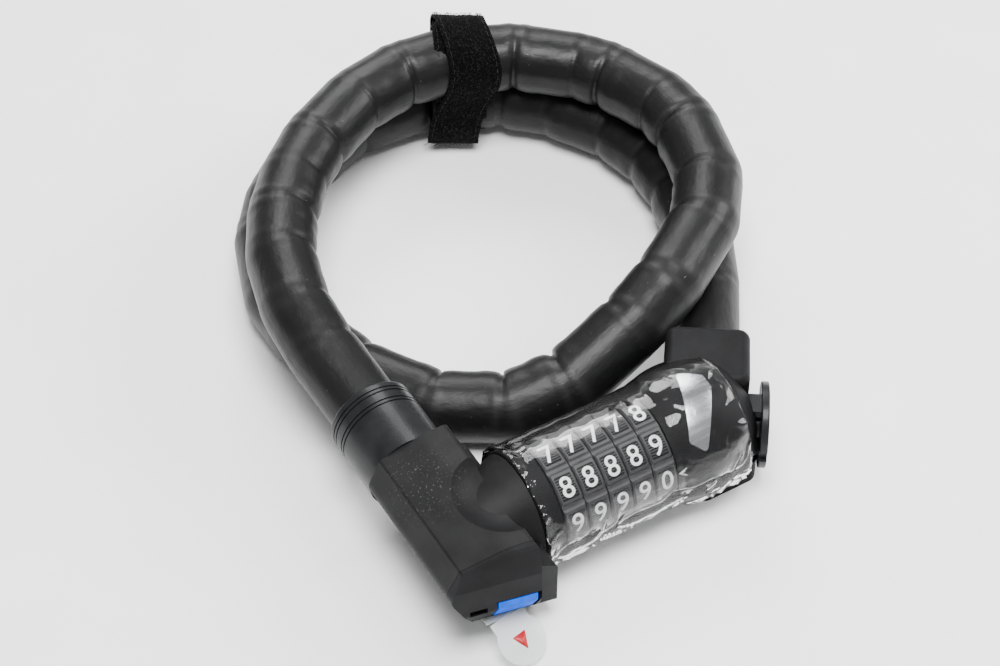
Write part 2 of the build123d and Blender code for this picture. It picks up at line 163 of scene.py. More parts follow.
@dataclass(frozen=True)
class Finish:
    """A finish with mottled colour, fine grain and uneven gloss.

    Sizes are in mm of the real surface. stretch is how many times longer the pattern runs
    along each axis.
    """

    name: str
    dark: str
    light: str
    mottle: float = 6.0
    grain: float = 0.5
    grain_depth: float = 0.02
    roughness: tuple[float, float] = (0.35, 0.5)
    metallic: float = 0.0
    ior: float = 1.5
    coat: float = 0.0
    sheen: float = 0.0
    stretch: Place = (1.0, 1.0, 1.0)
    space: Space = Space.SOLID

    def place(self, tree: bpy.types.NodeTree) -> bpy.types.NodeSocket:
        """The coordinates of the pattern, stretched, in metres."""
        coords = add_node(tree, "ShaderNodeTexCoord").outputs[self.space.value]
        scale = tuple(1 / s for s in self.stretch)
        return add_node(tree, "ShaderNodeMapping", Vector=coords, Scale=scale).outputs[0]

    def speckle(
        self, tree: bpy.types.NodeTree, size: float, detail: float, low: float, high: float
    ) -> bpy.types.NodeSocket:
        """Noise of a real size, cut to 0 below low and 1 above high."""
        spots = add_node(
            tree,
            "ShaderNodeTexNoise",
            Vector=self.place(tree),
            Scale=1 / (size * MM),
            Detail=detail,
        )
        cut = add_node(
            tree, "ShaderNodeMapRange", Value=spots.outputs[0], From_Min=low, From_Max=high
        )
        return cut.outputs[0]

    def colour(self, tree: bpy.types.NodeTree) -> bpy.types.NodeSocket:
        """The mottled colour."""
        mix = add_node(
            tree,
            "ShaderNodeMix",
            {"data_type": "RGBA"},
            i0=self.speckle(tree, self.mottle, 4.0, 0.35, 0.7),
            i6=linear(self.dark),
            i7=linear(self.light),
        )
        return mix.outputs[2]

    def bump(self, tree: bpy.types.NodeTree) -> bpy.types.NodeSocket:
        """The normal of the fine grain."""
        made = add_node(
            tree,
            "ShaderNodeBump",
            Distance=self.grain_depth * MM,
            Height=self.speckle(tree, self.grain, 3.0, 0.2, 0.8),
        )
        return made.outputs[0]

    def gloss(self, tree: bpy.types.NodeTree) -> bpy.types.NodeSocket:
        """Roughness that wanders between its two ends, as handling leaves it."""
        low, high = self.roughness
        wander = add_node(
            tree,
            "ShaderNodeMapRange",
            Value=self.speckle(tree, self.mottle * 2.3, 5.0, 0.3, 0.75),
            To_Min=low,
            To_Max=high,
        )
        return wander.outputs[0]

    def shader(self, tree: bpy.types.NodeTree) -> bpy.types.Node:
        """The Principled shader with every input of this finish."""
        return add_node(
            tree,
            "ShaderNodeBsdfPrincipled",
            Base_Color=self.colour(tree),
            Roughness=self.gloss(tree),
            Normal=self.bump(tree),
            Metallic=self.metallic,
            IOR=self.ior,
            Coat_Weight=self.coat,
            Sheen_Weight=self.sheen,
        )

    def build(self) -> bpy.types.Material:
        """Makes the material."""
        made = bpy.data.materials.new(self.name)
        made.use_nodes = True
        tree = made.node_tree
        tree.nodes.clear()
        add_node(tree, "ShaderNodeOutputMaterial", Surface=self.shader(tree).outputs[0])
        made.diffuse_color = linear(self.light)
        return made


@dataclass(frozen=True)
class ScuffedFinish(Finish):
    """A moulded finish with small pits and pale rub marks about one worn place."""

    worn_at: Place = (0.0, 0.0, 0.0)
    worn_radius: float = 16.0
    pit: float = 1.1
    rub: str = "#5a5955"

    def worn(self, tree: bpy.types.NodeTree) -> bpy.types.NodeSocket:
        """1 in the pits and rub marks of the worn place and 0 elsewhere."""
        coords = add_node(tree, "ShaderNodeTexCoord").outputs["Object"]
        away = add_node(
            tree,
            "ShaderNodeVectorMath",
            {"operation": "DISTANCE"},
            i0=coords,
            i1=tuple(at(*self.worn_at)),
        )
        near = add_node(
            tree,
            "ShaderNodeMapRange",
            Value=away.outputs["Value"],
            From_Min=self.worn_radius * MM,
            From_Max=self.worn_radius * 0.45 * MM,
        )
        marks = self.speckle(tree, self.pit, 6.0, 0.6, 0.66)
        both = add_node(
            tree, "ShaderNodeMath", {"operation": "MULTIPLY"}, i0=near.outputs[0], i1=marks
        )
        return both.outputs[0]

    def colour(self, tree: bpy.types.NodeTree) -> bpy.types.NodeSocket:
        """The mottled colour with pale rub marks."""
        mix = add_node(
            tree,
            "ShaderNodeMix",
            {"data_type": "RGBA"},
            i0=self.worn(tree),
            i6=super().colour(tree),
            i7=linear(self.rub),
        )
        return mix.outputs[2]

    def bump(self, tree: bpy.types.NodeTree) -> bpy.types.NodeSocket:
        """The grain with the pits sunk in it."""
        made = add_node(
            tree,
            "ShaderNodeBump",
            {"invert": True},
            Distance=0.12 * MM,
            Height=self.worn(tree),
            Normal=super().bump(tree),
        )
        return made.outputs[0]


@dataclass(frozen=True)
class SheathFinish(Finish):
    """Extruded vinyl over steel sleeves: drawn lines, dust, and a paler band on each ridge, part
    rub wear and part painted highlight on its upper side.
    """

    dust: str = "#77736c"
    # Ridge colour: rub wear plus a painted highlight where the ridge faces up.
    worn_and_lit_colour: str = "#2a2928"

    def colour(self, tree: bpy.types.NodeTree) -> bpy.types.NodeSocket:
        """Black with scattered dust and paler ridges, part wear and part painted highlight."""
        # The ridge mask carries rub wear and a painted highlight on the ridges' upper side.
        ridge = add_node(tree, "ShaderNodeAttribute", {"attribute_name": "ridge_wear_and_highlight"}).outputs["Fac"]
        polished_and_lit = add_node(
            tree,
            "ShaderNodeMix",
            {"data_type": "RGBA"},
            i0=ridge,
            i6=super().colour(tree),
            i7=linear(self.worn_and_lit_colour),
        )
        dusted = add_node(
            tree,
            "ShaderNodeMix",
            {"data_type": "RGBA"},
            i0=self.speckle(tree, 0.55, 2.0, 0.74, 0.8),
            i6=polished_and_lit.outputs[2],
            i7=linear(self.dust),
        )
        return dusted.outputs[2]

    def bump(self, tree: bpy.types.NodeTree) -> bpy.types.NodeSocket:
        """Fine grain under shallow dents a few mm wide."""
        dents = add_node(
            tree,
            "ShaderNodeBump",
            Distance=0.16 * MM,
            Height=self.speckle(tree, 5.0, 2.0, 0.3, 0.75),
            Normal=super().bump(tree),
        )
        return dents.outputs[0]


@dataclass(frozen=True)
class LoopPileFinish(Finish):
    """Knitted loop pile: dark base with loop tops lighter as painted highlight and darker painted
    shade between them.
    """

    loop: float = 0.8

    def cells(self, tree: bpy.types.NodeTree) -> bpy.types.NodeSocket:
        """The distance from the nearest loop's middle."""
        made = add_node(
            tree,
            "ShaderNodeTexVoronoi",
            Vector=self.place(tree),
            Scale=1 / (self.loop * MM),
            Randomness=0.9,
        )
        return made.outputs[0]

    def colour(self, tree: bpy.types.NodeTree) -> bpy.types.NodeSocket:
        """Loops drawn as cells the size of one loop: painted highlight on each top, painted shade
        at its rim.
        """
        # Lighter cell middles are painted highlight on the loop tops; darker rims are painted shade
        # between loops.
        lit_tops = add_node(
            tree, "ShaderNodeMapRange", Value=self.cells(tree), From_Min=0.05, From_Max=0.3
        )
        mix = add_node(
            tree,
            "ShaderNodeMix",
            {"data_type": "RGBA"},
            i0=lit_tops.outputs[0],
            i6=linear(self.light),
            i7=linear(self.dark),
        )
        return mix.outputs[2]

    def bump(self, tree: bpy.types.NodeTree) -> bpy.types.NodeSocket:
        """Each cell stands up as a loop."""
        made = add_node(
            tree,
            "ShaderNodeBump",
            {"invert": True},
            Distance=0.6 * MM,
            Height=self.cells(tree),
        )
        return made.outputs[0]


@dataclass(frozen=True)
class FilmFinish(Finish):
    """Thin clear film: see-through, with sharp gloss where it is creased."""

    haze: float = 0.02
    crease: float = 7.0
    crease_haze: float = 0.12
    ripple: float = 0.1

    def shader(self, tree: bpy.types.NodeTree) -> bpy.types.Node:
        """Clear, mixed with a glossy skin by angle and along creases."""
        creased = self.speckle(tree, self.crease, 4.0, 0.62, 0.78)
        normal = add_node(
            tree,
            "ShaderNodeBump",
            Distance=self.ripple * MM,
            Height=self.speckle(tree, self.crease * 0.6, 1.0, 0.25, 0.75),
        ).outputs[0]
        angle = add_node(tree, "ShaderNodeFresnel", IOR=self.ior, Normal=normal).outputs[0]
        clouded = add_node(
            tree,
            "ShaderNodeMapRange",
            Value=creased,
            To_Min=self.haze,
            To_Max=self.crease_haze,
        ).outputs[0]
        share = add_node(
            tree, "ShaderNodeMath", {"operation": "ADD", "use_clamp": True}, i0=angle, i1=clouded
        ).outputs[0]
        skin = add_node(
            tree,
            "ShaderNodeBsdfPrincipled",
            Base_Color=linear(self.light),
            Metallic=self.metallic,
            Roughness=self.roughness[0],
            Normal=normal,
        ).outputs[0]
        clear = add_node(tree, "ShaderNodeBsdfTransparent").outputs[0]
        return add_node(tree, "ShaderNodeMixShader", i0=share, i1=clear, i2=skin)


# The black plastics, the sheath, the paint, the button and the film have a lower IOR than the real
# materials, which are near 1.5, because the large soft lights here would grey them.
# ABS moulded with a fine spark texture: matt black that greys where it is rubbed.
HEAD_ABS = Finish(
    "moulded_abs_black", "#101011", "#18181a", 9.0, 0.45, 0.035, (0.5, 0.64), ior=1.2
)
PULL_ABS = ScuffedFinish(
    "moulded_abs_scuffed", "#101011", "#19191a", 9.0, 0.45, 0.035, (0.48, 0.62),
    ior=1.24, worn_at=(-50.5, 9.0, 38.0), worn_radius=15.0, pit=0.7, rub="#424240",
)
# Glass-filled nylon rings: dark grey, a little duller than the heads.
RING_NYLON = Finish("moulded_nylon_ring", "#2a2a2c", "#353537", 5.0, 0.3, 0.03, (0.4, 0.55))
# Each figure stands in a smooth panel, darker and glossier than its ring.
DARK_PANEL = Finish("gloss_dark_panel", "#0b0b0c", "#101012", 4.0, 0.3, 0.005, (0.2, 0.3))
# Pad-printed enamel: opaque off-white with softly uneven edges.
FIGURE_INK = Finish("pad_print_white", "#d8dadb", "#f2f3f3", 2.0, 0.3, 0.01, (0.4, 0.55))
# Extruded PVC, satin, with lines drawn along it, dust that clings, and paler ridges that are part
# wear and part painted highlight.
SHEATH_PVC = SheathFinish(
    "extruded_pvc_sheath", "#0d0d0e", "#151516", 11.0, 0.6, 0.03, (0.36, 0.47), ior=1.3,
    stretch=(1.0, 2.4, 1.0), space=Space.SKIN,
)
# Die-cast zinc under black paint: smoother than the plastic and cooler.
CAST_ZINC = Finish(
    "painted_zinc_casting", "#151617", "#202123", 7.0, 0.8, 0.02, (0.28, 0.42), ior=1.25, coat=0.04
)
# Turned and hardened steel: bright, with fine turning marks round it.
TURNED_STEEL = Finish(
    "turned_steel", "#8f9296", "#b7babd", 4.0, 0.25, 0.01, (0.18, 0.32), 1.0,
    stretch=(0.3, 3.0, 3.0),
)
SPRING_STEEL = Finish(
    "drawn_spring_steel", "#7d8084", "#a5a8ab", 2.0, 0.2, 0.01, (0.25, 0.35), 1.0
)
DISC_BRASS = Finish("stamped_brass", "#a5823c", "#c9a558", 3.0, 0.2, 0.01, (0.25, 0.4), 1.0)
# Brushed aluminium foil: silver with fine lines across the head.
BADGE_FOIL = Finish(
    "brushed_aluminium_foil", "#a9acaf", "#d4d6d8", 3.0, 0.3, 0.01, (0.22, 0.34), 1.0,
    stretch=(6.0, 0.5, 6.0),
)
# Soft PVC button: saturated blue, nearly without gloss.
BUTTON_PVC = Finish("soft_pvc_blue", "#004fd0", "#005fe6", 3.0, 0.3, 0.01, (0.5, 0.62), ior=1.14)
BOARD_GLASS = Finish("glass_epoxy_green", "#1d4a2b", "#2c6b3f", 2.0, 0.3, 0.01, (0.35, 0.5))
LED_EPOXY = Finish(
    "cast_epoxy_clear", "#cfd6da", "#eef3f5", 2.0, 0.3, 0.005, (0.05, 0.1), coat=0.6
)
# Hook-and-loop band: matt black pile speckled by painted highlight on its loop tops.
STRAP_PILE = LoopPileFinish(
    "knitted_loop_pile", "#020202", "#262627", 4.0, 0.4, 0.1, (0.9, 0.98), ior=1.2,
    space=Space.SKIN,
)
STRAP_THREAD = Finish("polyamide_thread", "#070707", "#1a1a1b", 2.0, 0.3, 0.01, (0.6, 0.8))
# Heat-shrunk clear film: nearly invisible face on, white glints at its creases.
SHRINK_FILM = FilmFinish(
    "shrunk_pet_film", "#ffffff", "#ffffff", metallic=1.0, ior=1.19, roughness=(0.07, 0.1),
    haze=0.004, crease_haze=0.05, ripple=0.035,
)
# Frosted polyester strip: milky, lets the dark behind it through.
TAB_FILM = FilmFinish(
    "frosted_polyester_strip", "#d9dcdc", "#e4e7e7", roughness=(0.3, 0.4), haze=0.42,
    crease=5.0, crease_haze=0.5, ripple=0.03,
)
TAB_INK = Finish("screen_print_red", "#a30c14", "#b8141c", 2.0, 0.3, 0.005, (0.35, 0.45))

NODE_FINISHES: dict[str, Finish] = {
    "pull_head": PULL_ABS,
    "pull_base": HEAD_ABS,
    "fixed_head": HEAD_ABS,
    "fixed_base": HEAD_ABS,
    "end_collar": HEAD_ABS,
    "number_ring": RING_NYLON,
    "code_disc": DISC_BRASS,
    "grip_collar": CAST_ZINC,
    "bracket_shoe": CAST_ZINC,
    "lamp_housing": HEAD_ABS,
    "lamp_button": BUTTON_PVC,
    "lamp_board": BOARD_GLASS,
    "lamp_led": LED_EPOXY,
    "coin_cells": SPRING_STEEL,
    "detent_springs": SPRING_STEEL,
    "core_circlip": SPRING_STEEL,
    "head_badge": BADGE_FOIL,
    "pull_tab": TAB_FILM,
    "anchor_block": CAST_ZINC,
    "socket_ferrule": HEAD_ABS,
    "grip_ferrule": HEAD_ABS,
    "cable_tail": SHEATH_PVC,
}


class FinishShelf:
    """Makes each finish once and hands it out."""

    def __init__(self) -> None:
        """Starts with no materials made."""
        self._made: dict[str, bpy.types.Material] = {}

    def get(self, finish: Finish) -> bpy.types.Material:
        """The material of a finish."""
        if finish.name not in self._made:
            self._made[finish.name] = finish.build()
        return self._made[finish.name]

    def dress(self, obj: bpy.types.Object, *finishes: Finish) -> bpy.types.Object:
        """Gives a piece its materials and no others."""
        obj.data.materials.clear()
        for finish in finishes:
            obj.data.materials.append(self.get(finish))
        return obj

    def dress_nodes(self, nodes: dict[str, bpy.types.Object]) -> None:
        """Gives every carried-over piece the finish that its name calls for.

        Args:
            nodes: The loaded pieces by name.
        """
        for name, obj in nodes.items():
            match = [f for key, f in NODE_FINISHES.items() if name.startswith(key)]
            self.dress(obj, match[0] if match else TURNED_STEEL)
            LOG.info("dressed %s", name)


# ---- Mesh helpers -----------------------------------------------------------------------


def finish_piece(
    made: bmesh.types.BMesh, name: str, body: Body | None, slot: Slot
) -> bpy.types.Object:
    """Turns a bmesh to a named, smooth-shaded piece that rides a body.

    Args:
        made: The bmesh, which is freed.
        name: The piece's name.
        body: The body that it rides on, or None where it blends between two.
        slot: Not used.

    Returns:
        The new object.
    """
    mesh = bpy.data.meshes.new(name)
    made.to_mesh(mesh)
    made.free()
    for face in mesh.polygons:
        face.use_smooth = True
    obj = bpy.data.objects.new(name, mesh)
    bpy.context.scene.collection.objects.link(obj)
    if body is not None:
        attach(obj, body.value)
    LOG.info("built %s, %d faces", name, len(mesh.polygons))
    return obj


def shaped_grid(
    across: int,
    along: int,
    place: Callable[[float, float], Vector],
    size: tuple[float, float],
    wrap: bool = False,
    cap: bool = False,
) -> bmesh.types.BMesh:
    """A grid whose points are moved to a shape.

    Args:
        across: Number of faces in the first direction.
        along: Number of faces in the second direction.
        place: Gives the point for two shares from 0 to 1.
        size: The real size of the two directions in metres, for the UV map.
        wrap: True to join the first direction's ends, as round a tube.
        cap: True to close the open ends of a wrapped grid.

    Returns:
        The shaped bmesh.
    """
    made = bmesh.new()
    skin = made.loops.layers.uv.new("UVMap")
    bmesh.ops.create_grid(made, x_segments=across, y_segments=along, size=1.0, calc_uvs=True)
    for face in made.faces:
        for corner in face.loops:
            share = corner[skin].uv
            corner[skin].uv = (share.x * size[0], share.y * size[1])
    for point in made.verts:
        point.co = place((point.co.x + 1) / 2, (point.co.y + 1) / 2)
    if wrap:
        bmesh.ops.remove_doubles(made, verts=made.verts, dist=1e-7)
    if cap:
        rim = [e for e in made.edges if e.is_boundary]
        bmesh.ops.holes_fill(made, edges=rim, sides=0)
    if wrap:
        bmesh.ops.recalc_face_normals(made, faces=made.faces)
    return made


def solid_of(data: bpy.types.Curve) -> bmesh.types.BMesh:
    """The solid that a curve or text draws, as a bmesh. The curve is used up."""
    source = bpy.data.objects.new("source", data)
    mesh = bpy.data.meshes.new_from_object(source)
    bpy.data.objects.remove(source)
    bpy.data.curves.remove(data)
    made = bmesh.new()
    made.from_mesh(mesh)
    bpy.data.meshes.remove(mesh)
    return made


def smooth_line(points: Sequence[Vector]) -> list[Vector]:
    """Reads the smooth line that a few control points describe.

    Args:
        points: Control points in metres.

    Returns:
        Points close together along the line.
    """
    data = bpy.data.curves.new("line", "CURVE")
    data.dimensions = "3D"
    data.resolution_u = 32
    spline = data.splines.new("NURBS")
    spline.points.add(len(points) - 1)
    for control, point in zip(spline.points, points):
        control.co = (*point, 1.0)
    spline.order_u = 3
    spline.use_endpoint_u = True
    obj = bpy.data.objects.new("line", data)
    mesh = bpy.data.meshes.new_from_object(obj)
    line = [v.co.copy() for v in mesh.vertices]
    bpy.data.objects.remove(obj)
    bpy.data.curves.remove(data)
    bpy.data.meshes.remove(mesh)
    return line


def evenly(line: Sequence[Vector], step: float) -> list[Vector]:
    """Spaces the points of a line evenly.

    Args:
        line: Points along the line.
        step: The wanted spacing in metres.

    Returns:
        Evenly spaced points, with the line's own two ends.
    """
    run = [0.0]
    for a, b in zip(line, line[1:]):
        run.append(run[-1] + (b - a).length)
    count = max(2, round(run[-1] / step))
    out, seg = [], 0
    for k in range(count + 1):
        goal = run[-1] * k / count
        while seg < len(run) - 2 and run[seg + 1] < goal:
            seg += 1
        gap = run[seg + 1] - run[seg]
        share = (goal - run[seg]) / gap if gap > 0 else 0.0
        out.append(line[seg].lerp(line[seg + 1], min(1.0, max(0.0, share))))
    return out


# ---- Cable ------------------------------------------------------------------------------


@dataclass
class ArmouredCable:
    """The vinyl-sheathed cable, one and a half turns from the moving head to the fixed head."""

    radius: float = 11.0
    step: float = 1.2
    sides: int = 56
    length: float = 0.806
    # Control points in mm from the barrel's middle.
    route: list[Place] = field(
        default_factory=lambda: [
            (-47.0, 49.5, 26.0), (-47.1, 61.0, 26.4), (-50.0, 80.0, 32.0), (-48.2, 99.5, 33.9),
            (-41.0, 119.5, 34.0), (-28.0, 138.0, 33.9), (-10.0, 154.0, 33.9),
            (12.5, 165.2, 33.9), (36.0, 168.0, 34.4), (57.5, 161.0, 35.0), (77.5, 147.5, 34.1),
            (91.8, 129.0, 33.8), (98.3, 107.0, 33.7), (95.0, 83.0, 33.6), (84.5, 63.5, 33.6),
            (66.0, 49.3, 33.7), (45.5, 41.0, 29.0), (23.0, 35.5, 19.5), (0.5, 37.0, 13.0),
            (-18.5, 47.6, 11.3), (-32.0, 64.4, 11.2), (-41.6, 87.0, 11.2),
            (-45.3, 111.5, 11.2), (-38.5, 136.5, 11.2), (-22.5, 158.5, 11.2),
            (0.5, 173.5, 11.3), (26.0, 178.3, 12.3), (50.5, 171.0, 13.4), (73.5, 156.0, 12.3),
            (90.0, 133.5, 11.3), (95.5, 107.0, 11.2), (90.5, 79.5, 11.2), (78.0, 55.5, 11.2),
            (66.4, 38.7, 12.4), (50.62, 15.54, 12.4),
        ]
    )
    # Sleeve joints along the top turn, in mm from the collar, with how hard each is creased.
    top_joints: list[tuple[float, float]] = field(
        default_factory=lambda: [
            (26, 0.3), (43, 0.35), (65, 0.5), (83, 1.0), (100, 0.3), (117, 0.8), (140, 0.3),
            (160, 0.8), (178, 0.2), (199, 0.9), (221, 0.3), (232, 0.9), (254, 0.35),
            (267, 1.2), (292, 0.6), (312, 0.8), (338, 0.9), (356, 0.8), (383, 0.9), (403, 0.7),
        ]
    )
    lower_gap: float = 23.0
    straighten: float = 0.95

    def joints(self, run: float) -> list[tuple[float, float]]:
        """The joints of both turns, those of the lower turn spaced with a little variety."""
        draw = random.Random(11)
        found = list(self.top_joints)
        place = found[-1][0]
        while place < run - 2 * self.lower_gap:
            place += self.lower_gap * draw.uniform(0.72, 1.28)
            found.append((place, draw.uniform(0.3, 0.9)))
        return found

    def centre_line(self) -> list[Vector]:
        """The cable's middle line, drawn part of the way to straight between its joints."""
        line = evenly(smooth_line([at(*p) for p in self.route]), self.step * MM)
        gap = (line[1] - line[0]).length / MM
        stops = [0] + [round(s / gap) for s, _ in self.joints(len(line) * gap)] + [len(line) - 1]
        out = [p.copy() for p in line]
        for a, b in zip(stops, stops[1:]):
            for k in range(a + 1, b):
                chord = line[a].lerp(line[b], (k - a) / (b - a))
                out[k] = line[k].lerp(chord, self.straighten)
        for _ in range(2):
            mid = [out[0]]
            mid += [(a + 2 * b + c) / 4 for a, b, c in zip(out, out[1:], out[2:])]
            out = mid + [out[-1]]
        return out

    def build(self, shelf: FinishShelf) -> bpy.types.Object:
        """Makes the sheath, with a ridge at each joint and a crease on the inner side.

        Args:
            shelf: Where finishes come from.

        Returns:
            The sheath's object.
        """
        line = self.centre_line()
        gap = (line[1] - line[0]).length / MM
        run = gap * (len(line) - 1)
        joints = self.joints(run)
        tangents = [
            (line[min(k + 2, len(line) - 1)] - line[max(k - 2, 0)]).normalized()
            for k in range(len(line))
        ]
        across = [tangents[0].cross(Vector((0, 0, 1))).normalized()]
        for t in tangents[1:]:
            side = across[-1] - t * across[-1].dot(t)
            across.append(side.normalized())
        inward = []
        reach = max(2, round(9 / gap))
        for k in range(len(line)):
            a, b = line[max(0, k - reach)], line[min(len(line) - 1, k + reach)]
            bend = (a + b) / 2 - line[k]
            bend -= tangents[k] * bend.dot(tangents[k])
            inward.append(bend.normalized() if bend.length > 1e-6 else across[k])
        ridge_wear_and_highlight: dict[tuple[int, int], float] = {}

        def place(u: float, v: float) -> Vector:
            k = round(v * (len(line) - 1))
            s = k * gap
            turn = 2 * math.pi * u
            side, up = across[k], tangents[k].cross(across[k])
            way = side * math.cos(turn) + up * math.sin(turn)
            inner = max(0.0, way.dot(inward[k]))
            quiet = smooth(0, 12, s) * smooth(0, 16, run - s)
            swell, rubbed_and_lit = 0.0, 0.0
            for spot, hard in joints:
                off = s - spot
                if abs(off) > 9:
                    continue
                lean = Vector((0.3 * math.cos(3 * spot), 0.4 * math.sin(5 * spot) - 0.3, 1.0))
                patch = 0.5 + 0.5 * way.dot(lean.normalized())
                ridge = math.exp(-((abs(off) - 2.2) / 1.2) ** 2)
                swell += (0.003 + 0.03 * hard * patch**2) * ridge
                groove = math.exp(-((off / 1.9) ** 2))
                swell -= (0.006 + 0.15 * hard * inner**1.3) * groove
                swell += 0.035 * hard * inner * math.exp(-((abs(off) - 6) / 2.4) ** 2)
                # Paler ridge colour, strongest where the ridge faces up toward the lights: part rub
                # wear, part painted highlight.
                rubbed_and_lit = max(rubbed_and_lit, ridge * hard * patch**3 * 0.5)
            ripple = 0.006 * noise.noise(Vector((s / 6.5, 2 * math.cos(turn), 2 * math.sin(turn))))
            ridge_wear_and_highlight[(round(u * self.sides) % self.sides, k)] = rubbed_and_lit * quiet
            return line[k] + way * (self.radius * MM * (1 + quiet * (swell + ripple)))

        girth = 2 * math.pi * self.radius * MM
        made = shaped_grid(self.sides, len(line) - 1, place, (girth, run * MM), wrap=True, cap=True)
        rub = made.verts.layers.float.new("ridge_wear_and_highlight")
        by_place = {}
        for (u, k), value in ridge_wear_and_highlight.items():
            by_place[tuple(round(c, 6) for c in place(u / self.sides, k / (len(line) - 1)))] = value
        for point in made.verts:
            point[rub] = by_place.get(tuple(round(c, 6) for c in point.co), 0.0)
        obj = finish_piece(made, "sheath_tube", None, Slot.SHEATH)
        shelf.dress(obj, SHEATH_PVC)
        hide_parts("cable_sheath", "cable_core", "armour_sleeves")
        [tuple(p) for p in line]
        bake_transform(obj)
        return obj


# ---- Strap ------------------------------------------------------------------------------


@dataclass
class StrapTie:
    """The hook-and-loop strap: one turn and a half round both runs of the cable."""

    width: float = 17.0
    thickness: float = 0.95
    upper: Place = (52.4, 162.5, 34.9)
    lower: Place = (54.9, 167.9, 13.25)
    along: Place = (0.907, -0.421, 0.0)
    inner_radius: float = 11.75
    lap: float = 69.0
    start: float = 36.6
    floor: float = 1.2  # how low its middle may lie
    layer_rise: float = 1.25  # how far the second layer stands off the first
    slack_at: float = 135.0  # where it stands off the cable, along its length
    slack_rise: float = 2.1
    skew_at: float = 156.0  # where the second layer runs askew of the first
    spread: float = 13.0
    pile_count: int = 2600

    def frame(self) -> tuple[Vector, Vector, Vector, Vector, float]:
        """The two middles, the strap's width direction, its outward direction and the span."""
        top, low = at(*self.upper), at(*self.lower)
        side = Vector(self.along).normalized()
        line = (top - low).normalized()
        return top, low, side, line.cross(side).normalized(), (top - low).length / MM

    def around(self, s: float, radius: float) -> tuple[Vector, Vector]:
        """A point of the closed line round both runs.

        Args:
            s: Distance along the line in mm, from the top run's inner side.
            radius: Distance from the runs' middles in mm.

        Returns:
            The point in metres and the way out from the runs.
        """
        top, low, side, out, span = self.frame()
        up = (top - low).normalized()
        arc = math.pi * radius
        s %= 2 * (arc + span)
        if s < arc:
            turn = s / radius
            way = -out * math.cos(turn) + up * math.sin(turn)
            return top + way * radius * MM, way
        s -= arc
        if s < span:
            return top - up * s * MM + out * radius * MM, out
        s -= span
        if s < arc:
            turn = s / radius
            way = out * math.cos(turn) - up * math.sin(turn)
            return low + way * radius * MM, way
        s -= arc
        return low + up * s * MM - out * radius * MM, -out

    def girth(self) -> float:
        """The length of one turn in mm."""
        return 2 * (math.pi * self.inner_radius + self.frame()[4])

    def length(self) -> float:
        """The strap's whole length in mm."""
        return self.girth() + self.lap

    def place(self, u: float, v: float, lift: float = 0.0) -> Vector:
        """A point of the strap's mid surface.

        Args:
            u: Share across its width.
            v: Share along its length.
            lift: Extra distance out, in mm.

        Returns:
            The point in metres.
        """
        s = v * self.length()
        layer = smooth(self.girth() - 14, self.girth() + 2, s)
        slack = self.slack_rise * math.exp(-(((s - self.slack_at) / self.spread) ** 2))
        slack *= 1 - 0.75 * u
        end = smooth(self.length() - 22, self.length(), s)
        radius = self.inner_radius + self.layer_rise * layer + slack
        point, way = self.around(self.start - s, radius)
        side = Vector(self.along).normalized()
        skew = -2.9 + 4.6 * math.exp(-(((s - self.skew_at) / self.spread) ** 2)) - 3.2 * end
        wave = 0.25 * noise.noise(Vector((u * 3, s / 7, 1.0))) + 5.0 * end**2 * (0.7 + 0.3 * u)
        wave += 0.14 * noise.noise(Vector((u * 21, s / 0.8, 4.0)))
        point += way * (wave + lift) * MM + side * ((u - 0.5) * self.width + skew) * MM
        point.z = max(point.z, self.floor * MM + 0.3 * lift * MM)
        return point

    def build(self, shelf: FinishShelf) -> None:
        """Makes the band, its sewn edges, its pile and its frayed end.

        Args:
            shelf: Where finishes come from.
        """
        size = (self.width * MM, self.length() * MM)
        made = shaped_grid(34, 380, self.place, size)
        bmesh.ops.solidify(made, geom=made.faces, thickness=self.thickness * MM)
        bmesh.ops.recalc_face_normals(made, faces=made.faces)
        band = finish_piece(made, "strap_band", Body.LOCK, Slot.STRAP)
        shelf.dress(band, STRAP_PILE)
        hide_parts("cable_strap")
        pile = self.threads("strap_pile", shelf, self.pile_lines())
        seams = self.threads("strap_stitches", shelf, self.stitch_lines())
        fray = self.threads("strap_fray", shelf, self.fray_lines())

    def pile_lines(self) -> Iterable[tuple[list[Vector], float]]:
        """Short stray loops over the band's outer side."""
        draw = random.Random(5)
        for _ in range(self.pile_count):
            u, v = draw.uniform(0.0, 1.0), draw.uniform(0.0, 1.0)
            du, dv = draw.uniform(-0.03, 0.03), draw.uniform(-0.003, 0.003)
            rise = 0.5 * self.thickness + draw.uniform(0.12, 0.5)
            yield [
                self.place(u, v, 0.3),
                self.place(u + du / 2, v + dv / 2, rise),
                self.place(u + du, v + dv, rise * 0.9),
                self.place(u + du * 1.2, v + dv * 1.4, 0.3),
            ], 0.035

    def stitch_lines(self) -> Iterable[tuple[list[Vector], float]]:
        """The rows of stitches near both edges."""
        count = round(self.length() / 2.2)
        for u in (0.08, 0.92):
            for k in range(count - 1):
                v = (k + 0.15) / count
                w = (k + 0.85) / count
                yield [
                    self.place(u, v, 0.3),
                    self.place(u, (2 * v + w) / 3, 0.62),
                    self.place(u, (v + 2 * w) / 3, 0.62),
                    self.place(u, w, 0.3),
                ], 0.08

    def fray_lines(self) -> Iterable[tuple[list[Vector], float]]:
        """Loose threads at the strap's cut end."""
        draw = random.Random(9)
        for _ in range(14):
            u = draw.uniform(0.02, 0.98)
            root = self.place(u, 0.996)
            ahead = (self.place(u, 1.0) - self.place(u, 0.99)).normalized()
            side = Vector(self.along) * draw.uniform(-0.9, 0.9)
            side += Vector((0, 0, draw.uniform(-0.9, 0.3)))
            reach = draw.uniform(0.8, 2.6) * MM
            yield [
                root,
                root + ahead * reach * 0.5 + side * reach * 0.15,
                root + ahead * reach * 0.85 + side * reach * 0.5,
                root + ahead * reach + side * reach,
            ], 0.09

